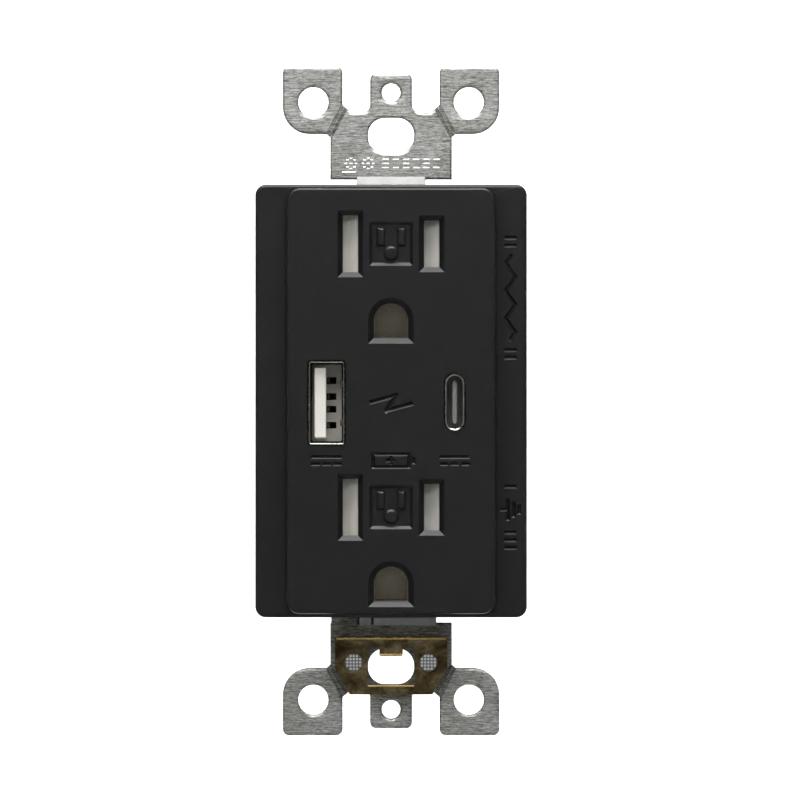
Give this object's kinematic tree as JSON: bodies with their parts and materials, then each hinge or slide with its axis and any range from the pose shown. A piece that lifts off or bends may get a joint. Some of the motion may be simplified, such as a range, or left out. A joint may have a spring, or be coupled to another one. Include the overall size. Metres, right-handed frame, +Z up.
{
  "type": "duplex wall receptacle with usb charging ports",
  "caption": "Wall receptacle with a black raised face, grounded shuttered blade slots, USB-A and USB-C ports, and a plated steel mounting strap.",
  "frame": {"origin": "midway between the two mounting slots, on the back plane of the strap's ears, which lies on the wall", "axes": "+X to the right of a person facing the receptacle, +Y into the wall, +Z up; the face looks along -Y"},
  "size_m": [0.0426, 0.0381, 0.105],
  "materials": {
    "face_plastic": "fine moulded grain, near black",
    "body_plastic": "moulded, slightly duller than the face",
    "galvanised_steel": "zinc plated, faint rolling streaks",
    "clip_brass": "thin brown brass, stained",
    "insulator_plastic": "off-white moulding",
    "contact_brass": "bright brass",
    "nickel_plate": "satin nickel plate",
    "green_dye": "green dyed zinc",
    "shutter_nylon": "cream nylon",
    "spring_steel": "drawn wire",
    "black_moulding": "black moulding compound",
    "circuit_board": "green solder mask",
    "ferrite": null,
    "yellow_tape": "polyester tape",
    "capacitor_sleeve": "aluminium can in a dark sleeve",
    "fuse_glass": "clear",
    "wire_insulation": "insulated lead"
  },
  "bodies": {
    "housing": {"front_cover": "face_plastic", "rear_body": "body_plastic", "mounting_strap": "galvanised_steel", "grounding_clip": "clip_brass", "body_screw_1": "galvanised_steel", "body_screw_2": "galvanised_steel", "body_screw_3": "galvanised_steel", "body_screw_4": "galvanised_steel", "contact_carrier": "insulator_plastic", "hot_bus": "contact_brass", "neutral_bus": "nickel_plate", "ground_contact_upper": "contact_brass", "ground_contact_lower": "contact_brass", "ground_rivet_upper": "contact_brass", "ground_rivet_lower": "contact_brass", "shutter_carrier_upper": "insulator_plastic", "shutter_carrier_lower": "insulator_plastic", "shutter_spring_upper": "spring_steel", "shutter_spring_lower": "spring_steel", "usb_a_shell": "nickel_plate", "usb_a_insulator": "insulator_plastic", "usb_a_contact_1": "contact_brass", "usb_a_contact_2": "contact_brass", "usb_a_contact_3": "contact_brass", "usb_a_contact_4": "contact_brass", "usb_c_shell": "nickel_plate", "usb_c_tongue": "black_moulding", "usb_board": "circuit_board", "power_board": "circuit_board", "board_link": "black_moulding", "transformer_core": "ferrite", "transformer_winding": "yellow_tape", "input_capacitor_1": "capacitor_sleeve", "input_capacitor_2": "capacitor_sleeve", "output_capacitor": "capacitor_sleeve", "bridge_rectifier": "black_moulding", "fuse": "fuse_glass", "hot_lead": "wire_insulation", "neutral_lead": "insulator_plastic"},
    "shutter_upper": {"shutter_upper": "shutter_nylon"},
    "shutter_lower": {"shutter_lower": "shutter_nylon"},
    "clamp_plate_hot_upper": {"clamp_plate_hot_upper": "nickel_plate"},
    "terminal_screw_hot_upper": {"terminal_screw_hot_upper": "contact_brass"},
    "clamp_plate_hot_lower": {"clamp_plate_hot_lower": "nickel_plate"},
    "terminal_screw_hot_lower": {"terminal_screw_hot_lower": "contact_brass"},
    "clamp_plate_neutral_upper": {"clamp_plate_neutral_upper": "nickel_plate"},
    "terminal_screw_neutral_upper": {"terminal_screw_neutral_upper": "nickel_plate"},
    "clamp_plate_neutral_lower": {"clamp_plate_neutral_lower": "nickel_plate"},
    "terminal_screw_neutral_lower": {"terminal_screw_neutral_lower": "nickel_plate"},
    "ground_clamp": {"ground_clamp": "nickel_plate"},
    "ground_screw": {"ground_screw": "green_dye"}
  },
  "joints": [
    {"name": "shutter_upper_slide", "type": "slide", "parent": "housing", "child": "shutter_upper", "axis": [1, 0, 0], "range_m": [0, 0.003], "stiffness_N_per_m": 100, "springref_m": -0.003, "deforming": ["shutter_spring_upper"]},
    {"name": "shutter_lower_slide", "type": "slide", "parent": "housing", "child": "shutter_lower", "axis": [1, 0, 0], "range_m": [0, 0.003], "stiffness_N_per_m": 100, "springref_m": -0.003, "deforming": ["shutter_spring_lower"]},
    {"name": "clamp_plate_hot_upper_slide", "type": "slide", "parent": "housing", "child": "clamp_plate_hot_upper", "axis": [1, 0, 0], "range_m": [0, 0.00238]},
    {"name": "terminal_screw_hot_upper_turn", "type": "hinge", "parent": "clamp_plate_hot_upper", "child": "terminal_screw_hot_upper", "pos_m": [0.0165, 0.0062, 0.018], "axis": [1, 0, 0], "range_deg": [0, 1080]},
    {"name": "clamp_plate_hot_lower_slide", "type": "slide", "parent": "housing", "child": "clamp_plate_hot_lower", "axis": [1, 0, 0], "range_m": [0, 0.00238]},
    {"name": "terminal_screw_hot_lower_turn", "type": "hinge", "parent": "clamp_plate_hot_lower", "child": "terminal_screw_hot_lower", "pos_m": [0.0165, 0.0062, -0.012], "axis": [1, 0, 0], "range_deg": [0, 1080]},
    {"name": "clamp_plate_neutral_upper_slide", "type": "slide", "parent": "housing", "child": "clamp_plate_neutral_upper", "axis": [-1, 0, 0], "range_m": [0, 0.00238]},
    {"name": "terminal_screw_neutral_upper_turn", "type": "hinge", "parent": "clamp_plate_neutral_upper", "child": "terminal_screw_neutral_upper", "pos_m": [-0.0165, 0.0062, 0.018], "axis": [-1, 0, 0], "range_deg": [0, 1080]},
    {"name": "clamp_plate_neutral_lower_slide", "type": "slide", "parent": "housing", "child": "clamp_plate_neutral_lower", "axis": [-1, 0, 0], "range_m": [0, 0.00238]},
    {"name": "terminal_screw_neutral_lower_turn", "type": "hinge", "parent": "clamp_plate_neutral_lower", "child": "terminal_screw_neutral_lower", "pos_m": [-0.0165, 0.0062, -0.012], "axis": [-1, 0, 0], "range_deg": [0, 1080]},
    {"name": "ground_clamp_slide", "type": "slide", "parent": "housing", "child": "ground_clamp", "axis": [0, 0, -1], "range_m": [0, 0.00238]},
    {"name": "ground_screw_turn", "type": "hinge", "parent": "ground_clamp", "child": "ground_screw", "pos_m": [-0.0054, 0.0062, -0.0355], "axis": [0, 0, -1], "range_deg": [0, 1080]}
  ],
  "couplings": [
    {"joint": "terminal_screw_hot_upper_turn", "follows": "clamp_plate_hot_upper_slide", "rad_per_m": 7915.8},
    {"joint": "terminal_screw_hot_lower_turn", "follows": "clamp_plate_hot_lower_slide", "rad_per_m": 7915.8},
    {"joint": "terminal_screw_neutral_upper_turn", "follows": "clamp_plate_neutral_upper_slide", "rad_per_m": 7915.8},
    {"joint": "terminal_screw_neutral_lower_turn", "follows": "clamp_plate_neutral_lower_slide", "rad_per_m": 7915.8},
    {"joint": "ground_screw_turn", "follows": "ground_clamp_slide", "rad_per_m": 7915.8}
  ]
}
